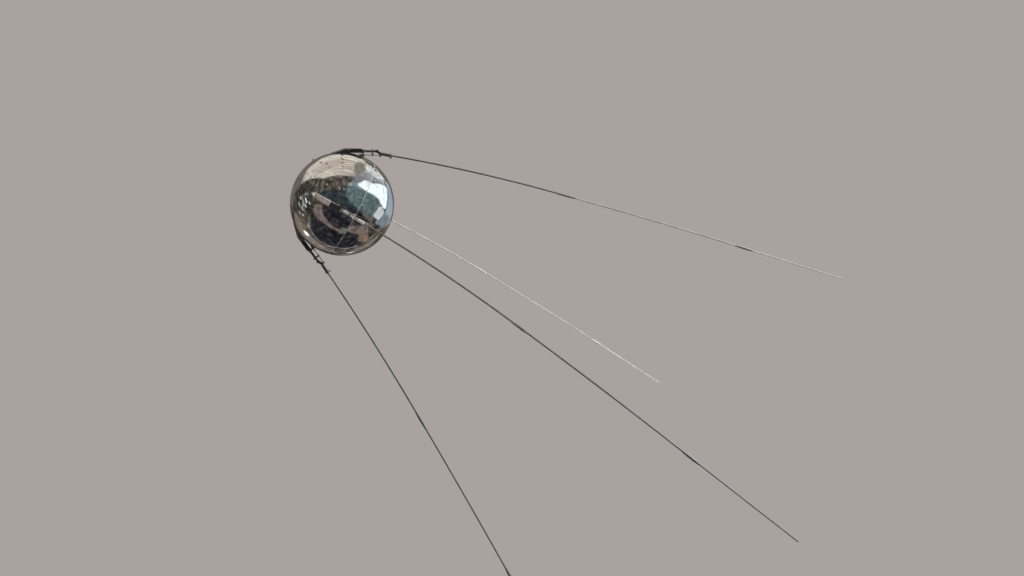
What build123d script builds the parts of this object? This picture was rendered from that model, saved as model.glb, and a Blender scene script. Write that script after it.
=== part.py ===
from build123d import *
import math
import os

# Polished spherical satellite with four trailing whip antennas, hung nose up.
# Millimetres. The origin is the centre of the sphere, +Z is up, the nose points
# to -X and the whips trail towards +X. Left of the nose is -Y.

# Sphere
sphere_radius = 290.0
shell_wall = 3.0
seam_offset = 50.0
ring_width = 4.0
ring_depth = 26.0
ring_recess = 0.6

# Battery block, an octagonal prism seated in the front shell
battery_sides = 8
battery_flats = 280.0
battery_rear = 70.0
battery_seat_gap = 0.3

# Attitude of the whole satellite
nose_up = 13.0

# Hanging eye
eye_from_nose = 38.0
eye_plate_radius = 9.0
eye_plate_thickness = 4.0
eye_bore_radius = 5.0
eye_boss_radius = 7.0
eye_boss_height = 5.0
eye_sink = 1.0

# Antenna mounts, in the plane of their own antenna
mount_angle = 63.0
seat_gap = 0.2
cut_margin = 1.0

fairing_nose = -68.0
fairing_ridge = 7.0
fairing_rear = 41.0
fairing_top = 22.0
fairing_nose_top = -5.0
fairing_width = 33.0
fairing_nose_width = 24.0
fairing_chamfer = 4.0
fairing_depth = 30.0

insulator_length = 66.0
insulator_width = 22.0
insulator_bottom = 0.0
insulator_round = 6.0

bracket_wall = 8.0
bracket_width = 22.0
bracket_top = 17.5
bracket_foot_length = 26.0
bracket_foot_height = 6.0

arm_radius = 7.0
arm_height = 9.0
arm_socket = 10.0
arm_clearance = 0.1
pivot_along = 190.0
tongue_thickness = 5.0
tongue_length = 15.0
tongue_height = 12.0
eye_radius = 9.0

guide_along = 164.0
guide_thickness = 8.0
guide_collar_radius = 10.5
guide_foot_radius = 5.0

plunger_drop = 22.0
plunger_radius = 2.0
plunger_length = 60.0
plunger_head_radius = 4.0
plunger_head_length = 3.0
plunger_clearance = 0.1
plunger_tip_gap = 0.5
spring_outer_radius = 4.2
spring_inner_radius = 2.8
spring_length = 22.0

# Swivel sleeve of a whip, measured from the pivot along the whip
fork_gap = 0.3
fork_cheek = 4.7
fork_web = 14.0
pin_radius = 2.5
pin_clearance = 0.05
pin_head_radius = 4.0
pin_head_length = 1.4
neck_radius = 5.5
sleeve_start = 30.0
sleeve_radius = 9.5
sleeve_offset = 10.5
sleeve_end = 86.0
strap_half = 6.5
strap_end = 26.0
lug_along = 18.0
lug_length = 8.0
lug_width = 7.0
lug_depth = 28.0

clamp_radius = 12.0
clamp_length = 10.0
clamp_tab_height = 16.5
clamp_tab_width = 6.0

# Whip: three rods joined by two ferrules
plug_depth = 40.0
plug_clearance = 0.1
plug_end_gap = 0.3
inner_rod_length = 975.0
middle_rod_length = 995.0
tip_rod_length = 590.0
inner_rod_radius = 4.5
middle_rod_radius = 4.2
tip_rod_radius = 3.8
tip_end_radius = 3.0
ferrule_length = 110.0
ferrule_radius = 7.5
ferrule_taper = 34.0
ferrule_lip = 1.2
free_length = inner_rod_length + middle_rod_length + tip_rod_length + 2 * ferrule_length
tip_droop = 356.0

# Each antenna: name, roll about the aft axis, swing of its whip from the aft axis
# at rest, and turn of its end clamp about the whip
antennas = (
    ("upper_left", 45.0, 18.0, 0.0),
    ("upper_right", -45.0, 23.0, 90.0),
    ("lower_left", 135.0, 33.0, 150.0),
    ("lower_right", -135.0, 29.0, 0.0),
)

mount_tilt = 90.0 - mount_angle
insulator_rear = fairing_rear + insulator_length
bracket_rear = insulator_rear + bracket_wall
fork_half_width = tongue_thickness / 2 + fork_gap + fork_cheek


def bar(radius, start, end, height=0.0):
    """Round bar along X between two places, at a height."""
    return Pos((start + end) / 2, 0, height) * Cylinder(radius, end - start, rotation=(0, 90, 0))


def rod(radius, start, end):
    """Round bar along Z between two places."""
    return Pos(0, 0, (start + end) / 2) * Cylinder(radius, end - start)


def side_plate(points, width):
    """Plate of a side outline in XZ, centred across Y."""
    return extrude(Plane.XZ * Polygon(*points, align=None), width / 2, both=True)


def attitude():
    """Turns the level satellite nose up."""
    return Rot(0, nose_up, 0)


def antenna_place(roll):
    """Plane of one antenna: X aft, Z outwards."""
    return attitude() * Rot(roll, 0, 0)


def mount_place(roll):
    """Foot of one mount on the sphere: X aft along the mount, Z off the skin."""
    along = math.radians(mount_angle)
    foot = Pos(-sphere_radius * math.cos(along), 0, sphere_radius * math.sin(along))
    return antenna_place(roll) * foot * Rot(0, -mount_tilt, 0)


def pivot_place(roll):
    """Swivel pin of one antenna, with X along the mount."""
    return mount_place(roll) * Pos(pivot_along, 0, arm_height)


def skin_ball(gap):
    """The sphere with a gap round it, seen from a mount's foot."""
    return Pos(0, 0, -sphere_radius) * Sphere(sphere_radius + gap)


def turned(face):
    """Solid turned about the aft axis from a face in XZ."""
    return attitude() * revolve(Plane.XZ * face, axis=Axis.X)


def span(x_start, x_end, inner=0.0):
    """Strip of the upper half plane between two places on the aft axis."""
    height = 2 * sphere_radius
    return Pos((x_start + x_end) / 2, inner + height / 2) * Rectangle(x_end - x_start, height)


def shell_section():
    return Circle(sphere_radius) - Circle(sphere_radius - shell_wall)


def front_shell():
    """Nose half with its shield, out to the seam."""
    return turned(shell_section() & span(-2 * sphere_radius, seam_offset - ring_width / 2))


def rear_shell():
    """Tail half behind the seam."""
    return turned(shell_section() & span(seam_offset + ring_width / 2, 2 * sphere_radius))


def joint_ring():
    """Flange ring between the shells, a little under the skin."""
    slab = span(seam_offset - ring_width / 2, seam_offset + ring_width / 2, sphere_radius - ring_depth)
    return turned(Circle(sphere_radius - ring_recess) & slab)


def battery_block():
    """Octagonal power block whose nose end seats in the front shell."""
    half_side = 180 / battery_sides
    corner = battery_flats / 2 / math.cos(math.radians(half_side))
    outline = Plane.YZ * RegularPolygon(corner, battery_sides, rotation=half_side)
    prism = Pos(-sphere_radius, 0, 0) * extrude(outline, sphere_radius + battery_rear)
    return attitude() * (prism & Sphere(sphere_radius - shell_wall - battery_seat_gap))


def hanging_eye():
    """Screwed eye on the crown of the front shell."""
    place = attitude() * Rot(0, eye_from_nose - 90, 0)
    boss = rod(eye_boss_radius, sphere_radius - eye_sink, sphere_radius + eye_boss_height)
    boss -= Sphere(sphere_radius + seat_gap)
    lift = sphere_radius + eye_boss_height + eye_plate_radius - eye_sink
    plate = Cylinder(eye_plate_radius, eye_plate_thickness, rotation=(90, 0, 0))
    plate -= Cylinder(eye_bore_radius, 2 * eye_plate_thickness, rotation=(90, 0, 0))
    return place * (boss + Pos(0, 0, lift) * plate)


def fairing_section(along, width, top):
    """Cross-section of a fairing with both upper corners cut off."""
    half = width / 2
    shoulder = top - fairing_chamfer
    outline = Polygon(
        (-half, -fairing_depth),
        (half, -fairing_depth),
        (half, shoulder),
        (half - fairing_chamfer, top),
        (fairing_chamfer - half, top),
        (-half, shoulder),
        align=None,
    )
    return Plane.YZ.offset(along) * outline


def fairing(roll):
    """Wedge-nosed fairing that carries the insulator, saddled on the skin."""
    nose = fairing_section(fairing_nose, fairing_nose_width, fairing_nose_top)
    ridge = fairing_section(fairing_ridge, fairing_width, fairing_top)
    body = loft([nose, ridge], ruled=True) + extrude(ridge, fairing_rear - fairing_ridge)
    return mount_place(roll) * (body - skin_ball(seat_gap))


def insulator(roll):
    """Dark insulating block with the socket of the arm."""
    height = fairing_top - insulator_bottom
    block = Pos((fairing_rear + insulator_rear) / 2, 0, (fairing_top + insulator_bottom) / 2)
    block = block * Box(insulator_length, insulator_width, height)
    rear_face = block.faces().sort_by(Axis.X)[-1]
    rear_top = rear_face.edges().sort_by(Axis.Z)[-1]
    block = fillet(rear_top, insulator_round)
    socket = bar(arm_radius + arm_clearance, insulator_rear - arm_socket, bracket_rear, arm_height)
    return mount_place(roll) * (block - socket - skin_ball(seat_gap))


def bracket(roll):
    """Plate behind the insulator with a foot that points forwards on the skin."""
    foot_start = bracket_rear - bracket_foot_length
    skin_drop = sphere_radius - math.sqrt(sphere_radius**2 - foot_start**2)
    drop_rear = sphere_radius - math.sqrt(sphere_radius**2 - bracket_rear**2)
    plate = side_plate(
        (
            (insulator_rear, bracket_top),
            (bracket_rear, bracket_top),
            (bracket_rear, -drop_rear - bracket_wall),
            (foot_start, -skin_drop - bracket_wall),
            (foot_start, -skin_drop + bracket_wall / 2),
            (insulator_rear, -drop_rear + bracket_foot_height + bracket_wall),
        ),
        bracket_width,
    )
    hole_start = insulator_rear - cut_margin
    hole = bar(arm_radius + arm_clearance, hole_start, bracket_rear + cut_margin, arm_height)
    return mount_place(roll) * (plate - hole - skin_ball(seat_gap))


def arm(roll):
    """Tube from the insulator to the swivel, with its tongue and eye."""
    tongue_start = pivot_along - tongue_length
    tube = bar(arm_radius, insulator_rear - arm_socket, tongue_start, arm_height)
    tongue = Pos(pivot_along - tongue_length / 2, 0, arm_height)
    tongue = tongue * Box(tongue_length + cut_margin, tongue_thickness, tongue_height)
    eye = Pos(pivot_along, 0, arm_height) * Cylinder(eye_radius, tongue_thickness, rotation=(90, 0, 0))
    bore = Pos(pivot_along, 0, arm_height)
    bore = bore * Cylinder(pin_radius + pin_clearance, 2 * tongue_thickness, rotation=(90, 0, 0))
    return mount_place(roll) * (tube + tongue + eye - bore)


def guide_tab(roll):
    """Collar on the arm whose foot guides the plunger."""
    start = guide_along - guide_thickness / 2
    end = guide_along + guide_thickness / 2
    plunger_height = arm_height - plunger_drop
    collar = bar(guide_collar_radius, start, end, arm_height)
    foot = bar(guide_foot_radius, start, end, plunger_height)
    neck = Pos(guide_along, 0, arm_height - plunger_drop / 2)
    neck = neck * Box(guide_thickness, 2 * guide_foot_radius, plunger_drop)
    hole_start = start - cut_margin
    hole_end = end + cut_margin
    arm_hole = bar(arm_radius + arm_clearance, hole_start, hole_end, arm_height)
    guide_hole = bar(plunger_radius + plunger_clearance, hole_start, hole_end, plunger_height)
    return mount_place(roll) * (collar + foot + neck - arm_hole - guide_hole)


def spring(roll):
    """Envelope of the coil spring between the bracket and the plunger."""
    height = arm_height - plunger_drop
    end = bracket_rear + spring_length
    outer = bar(spring_outer_radius, bracket_rear, end, height)
    inner = bar(spring_inner_radius, bracket_rear - cut_margin, end + cut_margin, height)
    return mount_place(roll) * (outer - inner)


def plunger_tip(swing):
    """Place along the mount where the lug meets the plunger at this swing."""
    lean = math.radians(swing - mount_tilt)
    rise = plunger_drop + lug_along * math.sin(lean)
    contact = lug_along * math.cos(lean) + rise * math.tan(lean)
    return pivot_along + contact - plunger_tip_gap


def plunger(roll, swing):
    """Spring rod that pushes the whip open."""
    tip = plunger_tip(swing)
    height = arm_height - plunger_drop
    start = tip - plunger_length
    shank = bar(plunger_radius, start, tip - plunger_radius, height)
    nose = Pos(tip - plunger_radius, 0, height) * Sphere(plunger_radius)
    head = bar(plunger_head_radius, start - plunger_head_length, start, height)
    return mount_place(roll) * (shank + nose + head)


def sleeve_place(roll, swing):
    """Pivot pin with X along the whip."""
    return pivot_place(roll) * Rot(0, mount_tilt - swing, 0)


def socket_place(roll, swing):
    """Open end of the sleeve, with Z along the whip and X inwards."""
    return sleeve_place(roll, swing) * Pos(sleeve_end, 0, -sleeve_offset) * Rot(0, 90, 0)


def sleeve(roll, swing):
    """Fork, neck, lug and socket tube that carry a whip."""
    cheek_middle = fork_half_width - fork_cheek / 2
    flare = sleeve_radius - neck_radius
    shape = bar(neck_radius, fork_web, sleeve_start, -sleeve_offset)
    shape += bar(sleeve_radius, sleeve_start, sleeve_end, -sleeve_offset)
    cone = Cone(neck_radius, sleeve_radius, flare, rotation=(0, 90, 0))
    shape += Pos(sleeve_start - flare / 2, 0, -sleeve_offset) * cone
    for side in (-1, 1):
        disc = Pos(0, side * cheek_middle, 0) * Cylinder(eye_radius, fork_cheek, rotation=(90, 0, 0))
        strap = side_plate(
            (
                (0, strap_half),
                (strap_end, neck_radius - sleeve_offset),
                (strap_end, -neck_radius - sleeve_offset),
                (fork_web, -neck_radius - sleeve_offset),
                (0, -strap_half),
            ),
            fork_cheek,
        )
        shape += disc + Pos(0, side * cheek_middle, 0) * strap
    lug = Pos(lug_along + lug_length / 2, 0, -(sleeve_offset + lug_depth) / 2)
    shape += lug * Box(lug_length, lug_width, lug_depth - sleeve_offset)
    shape -= Cylinder(pin_radius + pin_clearance, 3 * fork_half_width, rotation=(90, 0, 0))
    socket_start = sleeve_end - plug_depth - plug_end_gap
    socket_radius = inner_rod_radius + plug_clearance
    shape -= bar(socket_radius, socket_start, sleeve_end + cut_margin, -sleeve_offset)
    return sleeve_place(roll, swing) * shape


def pivot_pin(roll, swing):
    """Pin through the fork and the tongue."""
    half_length = fork_half_width + pin_clearance
    shape = Cylinder(pin_radius, 2 * half_length, rotation=(90, 0, 0))
    for side in (-1, 1):
        middle = side * (half_length + pin_head_length / 2)
        shape += Pos(0, middle, 0) * Cylinder(pin_head_radius, pin_head_length, rotation=(90, 0, 0))
    return sleeve_place(roll, swing) * shape


def whip_start(roll, swing):
    """End of the sleeve: Z along the whip, X the way its own weight bends it."""
    end = socket_place(roll, swing)
    tangent = (end * Pos(0, 0, 1)).position - end.position
    down = Vector(0, 0, -1)
    droop = down - tangent * down.dot(tangent)
    plane = Plane(origin=end.position, x_dir=droop.normalized(), z_dir=tangent)
    return plane.location, droop.length


def bend(start, end, load):
    """Turn in degrees between two places on a whip, for a cantilever with its own weight."""
    whole = 4 * tip_droop * load / (3 * free_length)
    return math.degrees(whole * ((1 - start / free_length) ** 3 - (1 - end / free_length) ** 3))


def after_arc(place, length, turn):
    """Far end of an arc that leaves a place along Z and bends towards X."""
    radius = length / math.radians(turn)
    across = radius * (1 - math.cos(math.radians(turn)))
    along = radius * math.sin(math.radians(turn))
    return place * Pos(across, 0, along) * Rot(0, turn, 0)


def curved_rod(place, radius, length, turn):
    """Bent rod with a straight plug at each end."""
    bend_radius = length / math.radians(turn)
    axis = Axis((bend_radius, 0, 0), (0, 1, 0))
    arc = revolve(Circle(radius), axis=axis, revolution_arc=turn)
    end = after_arc(Location(), length, turn)
    return place * (rod(radius, -plug_depth, 0) + arc + end * rod(radius, 0, plug_depth))


def tip_rod(place):
    """Last rod, tapered, with a rounded end."""
    taper = Pos(0, 0, tip_rod_length / 2) * Cone(tip_rod_radius, tip_end_radius, tip_rod_length)
    end = Pos(0, 0, tip_rod_length) * Sphere(tip_end_radius)
    return place * (rod(tip_rod_radius, -plug_depth, 0) + taper + end)


def ferrule(place, near_radius, far_radius):
    """Joining sleeve that tapers to both rods, with a blind bore from each end."""
    middle_length = ferrule_length - 2 * ferrule_taper
    near_end = Cone(near_radius + ferrule_lip, ferrule_radius, ferrule_taper)
    far_end = Cone(ferrule_radius, far_radius + ferrule_lip, ferrule_taper)
    body = rod(ferrule_radius, ferrule_taper, ferrule_taper + middle_length)
    body += Pos(0, 0, ferrule_taper / 2) * near_end
    body += Pos(0, 0, ferrule_length - ferrule_taper / 2) * far_end
    depth = plug_depth + plug_end_gap
    body -= rod(near_radius + plug_clearance, -cut_margin, depth)
    body -= rod(far_radius + plug_clearance, ferrule_length - depth, ferrule_length + cut_margin)
    return place * body


def end_clamp(place, turn):
    """Clamp ring on the end of the sleeve, with its tab."""
    ring = rod(clamp_radius, -clamp_length, 0)
    tab = Pos(clamp_tab_height / 2, 0, -clamp_length / 2)
    ring += tab * Box(clamp_tab_height, clamp_tab_width, clamp_length)
    ring -= rod(sleeve_radius + plug_clearance, -clamp_length - cut_margin, cut_margin)
    return place * Rot(0, 0, turn) * ring


def whip(name, roll, swing, clamp_turn):
    """All pieces of one whip beyond its sleeve, as a dictionary of nodes."""
    place, load = whip_start(roll, swing)
    clamp = end_clamp(socket_place(roll, swing), clamp_turn)
    pieces = {}
    reached = 0.0
    ferrules = [clamp]
    lengths = (inner_rod_length, middle_rod_length)
    radii = (inner_rod_radius, middle_rod_radius, tip_rod_radius)
    for number, part_name in enumerate(("inner_rod", "middle_rod")):
        length = lengths[number]
        turn = bend(reached, reached + length, load)
        pieces[part_name + "_" + name] = curved_rod(place, radii[number], length, turn)
        place = after_arc(place, length, turn)
        ferrules.append(ferrule(place, radii[number], radii[number + 1]))
        place = place * Pos(0, 0, ferrule_length)
        reached += length + ferrule_length
    pieces["tip_rod_" + name] = tip_rod(place)
    pieces["ferrules_" + name] = Compound(children=ferrules)
    return pieces


def satellite():
    """All nodes by name."""
    nodes = {
        "front_shell": front_shell(),
        "rear_shell": rear_shell(),
        "joint_ring": joint_ring(),
        "battery_block": battery_block(),
        "hanging_eye": hanging_eye(),
    }
    for name, roll, swing, clamp_turn in antennas:
        nodes["fairing_" + name] = fairing(roll)
        nodes["insulator_" + name] = insulator(roll)
        nodes["bracket_" + name] = bracket(roll)
        nodes["arm_" + name] = arm(roll)
        nodes["guide_tab_" + name] = guide_tab(roll)
        nodes["spring_" + name] = spring(roll)
        nodes["plunger_" + name] = plunger(roll, swing)
        nodes["pivot_pin_" + name] = pivot_pin(roll, swing)
        nodes["sleeve_" + name] = sleeve(roll, swing)
        nodes.update(whip(name, roll, swing, clamp_turn))
    return nodes


os.makedirs("parts", exist_ok=True)
for node, shape in satellite().items():
    export_step(shape, "parts/" + node + ".step")
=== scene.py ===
# %% [markdown]
# A mirror-polished satellite with four long whip antennas, hung nose up and seen from below.
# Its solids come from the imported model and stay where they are. This script gives them their
# finishes, adds the small pieces that a solid model leaves out, and sets up the studio.

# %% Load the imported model
import math

import bpy
from mathutils import Matrix, Vector


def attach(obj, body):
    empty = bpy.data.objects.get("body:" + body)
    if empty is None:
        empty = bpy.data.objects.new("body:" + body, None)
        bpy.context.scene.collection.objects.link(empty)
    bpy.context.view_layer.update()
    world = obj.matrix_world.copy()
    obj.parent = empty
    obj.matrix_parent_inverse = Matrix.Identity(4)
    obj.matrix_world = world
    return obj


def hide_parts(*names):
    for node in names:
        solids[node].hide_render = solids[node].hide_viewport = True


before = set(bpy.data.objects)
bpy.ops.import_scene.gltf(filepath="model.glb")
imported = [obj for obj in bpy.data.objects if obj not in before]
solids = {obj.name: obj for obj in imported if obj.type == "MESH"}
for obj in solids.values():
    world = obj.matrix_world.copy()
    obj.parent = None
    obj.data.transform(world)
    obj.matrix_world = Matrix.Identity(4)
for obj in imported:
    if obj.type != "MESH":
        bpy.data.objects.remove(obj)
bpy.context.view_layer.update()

# %% [markdown]
# Every mount stands on the sphere at the same angle from the nose, and the four differ only in
# their roll about the long axis and in how far each whip has swung. Their places could be typed
# in as coordinates. A table with one row for each antenna and two matrices says the same in fewer
# lines, and places whatever is added to the mounts later.

# %% Table of the antennas
millimetre = 0.001
sphere_radius = 290 * millimetre
nose_up = math.radians(13)
mount_angle = math.radians(63)
mount_tilt = math.pi / 2 - mount_angle
pivot_along = 190 * millimetre
arm_height = 9 * millimetre

# name, roll in degrees, swing of the whip from the long axis, turn of the end clamp
antennas = (
    ("upper_left", 45, 18, 0),
    ("upper_right", -45, 23, 90),
    ("lower_left", 135, 33, 150),
    ("lower_right", -135, 29, 0),
)


def mount_place(roll):
    """Matrix of a mount's foot: X aft along the mount, Z off the skin."""
    foot = Vector((-math.cos(mount_angle), 0, math.sin(mount_angle))) * sphere_radius
    attitude = Matrix.Rotation(nose_up, 4, "Y") @ Matrix.Rotation(math.radians(roll), 4, "X")
    return attitude @ Matrix.Translation(foot) @ Matrix.Rotation(-mount_tilt, 4, "Y")


def whip_place(roll, swing):
    """Matrix of a swivel pin, with X along the whip."""
    pivot = Matrix.Translation((pivot_along, 0, arm_height))
    return mount_place(roll) @ pivot @ Matrix.Rotation(mount_tilt - math.radians(swing), 4, "Y")


for name, roll, swing, clamp_turn in antennas:
    print(name, "swivel at", [round(c, 3) for c in whip_place(roll, swing).translation])

# %% [markdown]
# A finish is a small tree of shader nodes. It could be clicked together in the shader editor, but
# in a script it helps to have one helper for a node with its values and one for a link, because
# every finish below then reads as a short list of steps.

# %% Materials, nodes and links
def new_finish(name):
    """A material and its shader."""
    finish = bpy.data.materials.new(name)
    finish.use_nodes = True
    return finish, finish.node_tree.nodes["Principled BSDF"]


def blank(owner):
    """Empty the node tree of a material or a world."""
    owner.use_nodes = True
    owner.node_tree.nodes.clear()
    return owner


def add(owner, kind, **values):
    """A node with values on its sockets, an underscore standing for a space."""
    node = owner.node_tree.nodes.new(kind)
    for socket, value in values.items():
        node.inputs[socket.replace("_", " ")].default_value = value
    return node


def link(owner, source, target):
    owner.node_tree.links.new(source, target)


print(len(bpy.data.materials), "materials before the first finish")

# %% [markdown]
# Metal that has been handled for years is never one flat colour. Pictures of metal could show
# that, but they would have to be laid out on every piece. Noise needs no layout. A broad one
# makes the stains in the colour, and a fine one the grain in roughness and bump. Both read Object
# coordinates, which are metres here, so a scale of 400 gives a grain of 2.5 mm.

# %% Patterns
def pattern_place(finish, stretch=(1, 1, 1), turn=(0, 0, 0)):
    """Object coordinates, stretched and turned. Gives the socket to read."""
    coordinates = add(finish, "ShaderNodeTexCoord")
    mapping = add(finish, "ShaderNodeMapping", Scale=stretch, Rotation=turn)
    link(finish, coordinates.outputs["Object"], mapping.inputs["Vector"])
    return mapping.outputs["Vector"]


def noise(finish, place, scale, detail, roughness=0.55):
    node = add(finish, "ShaderNodeTexNoise", Scale=scale, Detail=detail, Roughness=roughness)
    link(finish, place, node.inputs["Vector"])
    return node.outputs["Fac"]


def colours(finish, source, *stops):
    """Colour ramp through stops of (place, colour)."""
    ramp = add(finish, "ShaderNodeValToRGB")
    link(finish, source, ramp.inputs["Fac"])
    elements = ramp.color_ramp.elements
    while len(elements) < len(stops):
        elements.new(0.5)
    for element, (place, colour) in zip(elements, stops):
        element.position = place
        element.color = (*colour, 1)
    return ramp.outputs["Color"]


def in_range(finish, source, low, high, source_low=0.3, source_high=0.7):
    """Noise keeps near 0.5, so by default only its middle part is spread from low to high."""
    node = add(
        finish, "ShaderNodeMapRange",
        From_Min=source_low, From_Max=source_high, To_Min=low, To_Max=high,
    )
    link(finish, source, node.inputs["Value"])
    return node.outputs["Result"]


for scale in (120, 400, 900):
    print("a scale of", scale, "gives a grain of", round(1 / scale / millimetre, 1), "mm")

# %% [markdown]
# Grain and waves could be modelled, but at this depth they only bend the light, and a bump does
# that. One bump can lie on another. A finished material then goes on all solids whose names start
# alike, because the model gives like names to like pieces.

# %% Bump, and giving a finish
def bump(finish, source, depth, under=None):
    """Bump of a depth in metres, on top of another bump."""
    node = add(finish, "ShaderNodeBump", Strength=1.0, Distance=depth)
    link(finish, source, node.inputs["Height"])
    if under is not None:
        link(finish, under, node.inputs["Normal"])
    return node.outputs["Normal"]


def give(finish, *kinds):
    """Put a finish on every solid whose name starts with one of these kinds."""
    dressed = 0
    for name, solid in solids.items():
        if name.startswith(kinds):
            solid.data.materials.clear()
            solid.data.materials.append(finish)
            dressed += 1
    print(finish.name, "on", dressed, "solids")


print("kinds of solid:", len({name.split("_")[0] for name in solids}))

# %% [markdown]
# The two halves are spun from sheet aluminium and polished like a mirror. A shader that is only
# metallic and smooth would do for chrome plate. What gives away a spun ball is how it bends what
# it reflects: broad, shallow waves left by the spinning, fine rings of the polishing wheel about
# the long axis, and a faint haze where it has been wiped. So three bumps lie on each other here,
# for the waves, the rings and small pits, and a noise in the roughness makes the haze.

# %% Mirror polish of the shells
wave_depth = 1.6 * millimetre
ring_depth = 0.008 * millimetre
pit_depth = 0.06 * millimetre


def mirror_polish(name, warm, cool):
    finish, shader = new_finish(name)
    place = pattern_place(finish, turn=(0, -nose_up, 0))
    stain = noise(finish, place, scale=5, detail=6)
    link(finish, colours(finish, stain, (0.3, warm), (0.7, cool)), shader.inputs["Base Color"])
    haze = noise(finish, place, scale=14, detail=8, roughness=0.7)
    dullness = in_range(finish, haze, low=0.07, high=0.18, source_low=0.42, source_high=0.72)
    link(finish, dullness, shader.inputs["Roughness"])
    waves = bump(finish, noise(finish, place, scale=7, detail=2), wave_depth)
    rings = add(finish, "ShaderNodeTexWave", Scale=60, Distortion=1.5, Detail=3)
    rings.wave_type = "BANDS"
    rings.bands_direction = "X"
    link(finish, place, rings.inputs["Vector"])
    polished = bump(finish, rings.outputs["Fac"], ring_depth, under=waves)
    pits = bump(finish, noise(finish, place, scale=90, detail=3), pit_depth, under=polished)
    link(finish, pits, shader.inputs["Normal"])
    shader.inputs["Metallic"].default_value = 1.0
    return finish


give(mirror_polish("nose_polish", (0.80, 0.79, 0.77), (0.88, 0.88, 0.88)), "front_shell")
give(mirror_polish("tail_polish", (0.78, 0.78, 0.77), (0.87, 0.88, 0.89)), "rear_shell")

# %% [markdown]
# The other metals are duller: cast fairings, tube, plate, steel and spring wire. A material could
# be written out for each, but they differ only in numbers, so one recipe serves them all. Metal
# that has gone chalky scatters light as paint does, so one of the numbers says how much of it is
# still bare.

# %% Recipe for a dull metal
stain_size = 12
stain_detail = 5
grain_detail = 6
grain_roughness = 0.65


def metal(name, clean, stained, dullness, grain, depth, bare, stretch=(1, 1, 1), turn=(0, 0, 0)):
    finish, shader = new_finish(name)
    place = pattern_place(finish, stretch, turn)
    stain = noise(finish, place, grain / stain_size, stain_detail)
    link(finish, colours(finish, stain, (0.35, stained), (0.6, clean)), shader.inputs["Base Color"])
    fine = noise(finish, place, grain, grain_detail, grain_roughness)
    link(finish, in_range(finish, fine, *dullness), shader.inputs["Roughness"])
    link(finish, bump(finish, fine, depth), shader.inputs["Normal"])
    shader.inputs["Metallic"].default_value = bare
    return finish


print("a stain is as wide as", stain_size, "grains")

# %% [markdown]
# A table holds one row for each metal, and a row that comes later dresses its solids over again.
# Two of the fairings and two of the arms don't look like their fellows in the photograph, and they
# are copies with painted light and shade: the lower left fairing is made chalky and pinkish, so
# that it catches the lamps as a painted light, and the others are painted almost black as shade.

# %% Satin and bright metals
# name, clean colour, stained colour, least and most roughness, grain, depth of the grain in
# millimetres, share of bare metal, solids
metal_table = (
    ("satin_fairing", (0.66, 0.64, 0.62), (0.48, 0.46, 0.44), (0.22, 0.34), 400, 0.01, 1.0,
     ("fairing",)),
    # a lit copy of the satin fairing: chalky and pinkish, so that the lamps give the lower left
    # fairing a painted light
    ("painted_light_fairing", (0.6, 0.54, 0.51), (0.44, 0.39, 0.37), (0.26, 0.4), 400, 0.01, 0.55,
     ("fairing_lower_left",)),
    ("polished_tube", (0.94, 0.93, 0.91), (0.84, 0.82, 0.8), (0.2, 0.3), 200, 0.002, 0.8,
     ("arm",)),
    # a shaded copy of the satin fairing: painted shade, almost black, on the upper left fairing
    ("painted_shade_fairing", (0.27, 0.27, 0.28), (0.19, 0.19, 0.2), (0.26, 0.38), 400, 0.01, 1.0,
     ("fairing_upper_left",)),
    # a shaded copy of the polished tube: painted shade on the upper left and lower right arms
    ("painted_shade_tube", (0.36, 0.35, 0.34), (0.24, 0.23, 0.22), (0.24, 0.36), 200, 0.002, 1.0,
     ("arm_upper_left", "arm_lower_right")),
    ("dull_plate", (0.5, 0.48, 0.46), (0.32, 0.31, 0.3), (0.3, 0.5), 600, 0.03, 1.0,
     ("bracket", "guide_tab")),
    ("bright_steel", (0.62, 0.61, 0.6), (0.42, 0.4, 0.38), (0.2, 0.36), 900, 0.01, 1.0,
     ("plunger", "pivot_pin", "hanging_eye")),
    ("spring_steel", (0.4, 0.39, 0.38), (0.2, 0.19, 0.19), (0.25, 0.45), 900, 0.01, 1.0,
     ("spring",)),
    ("flange_metal", (0.97, 0.97, 0.95), (0.85, 0.84, 0.82), (0.4, 0.6), 500, 0.01, 0.75,
     ("joint_ring",)),
    ("power_case", (0.34, 0.35, 0.36), (0.25, 0.26, 0.27), (0.45, 0.6), 120, 0.1, 1.0,
     ("battery_block",)),
)
metals = {}
for name, clean, stained, dullness, grain, depth, bare, kinds in metal_table:
    metals[name] = metal(name, clean, stained, dullness, grain, depth * millimetre, bare)
    give(metals[name], *kinds)

# %% [markdown]
# The rods are drawn tube, so their grain and stains run along them. An image would have to be
# wrapped round each rod. It is simpler to turn the pattern so that its X lies along the whip, and
# to press it flat in X, which pulls the stains out lengthwise. The whips differ in painted light
# and shade, not in wear: the upper two are made chalky towards their tips, so that they catch the
# lamps as a painted light, while the bare rods are painted darker as shade, and two of the sockets
# almost black.

# %% Drawn rods and their sleeves
# painted light and shade for each piece of a whip: the shade of the clean metal and its bare share.
# A dark bare piece is painted shade, and a pale chalky one catches the lamps as a painted light.
whip_light_and_shade = {
    #              inner rod    middle rod   tip rod       sleeve        ferrules
    "upper_left": ((0.5, 1.0), (0.88, 0.8), (0.88, 0.65), (0.42, 1.0), (0.7, 0.95)),
    "upper_right": ((0.88, 0.45), (0.88, 0.4), (0.96, 0.05), (0.88, 0.5), (0.88, 0.2)),
    "lower_left": ((0.5, 1.0), (0.5, 1.0), (0.5, 1.0), (0.88, 0.55), (0.7, 1.0)),
    "lower_right": ((0.5, 1.0), (0.5, 1.0), (0.5, 1.0), (0.42, 1.0), (0.7, 1.0)),
}
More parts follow.
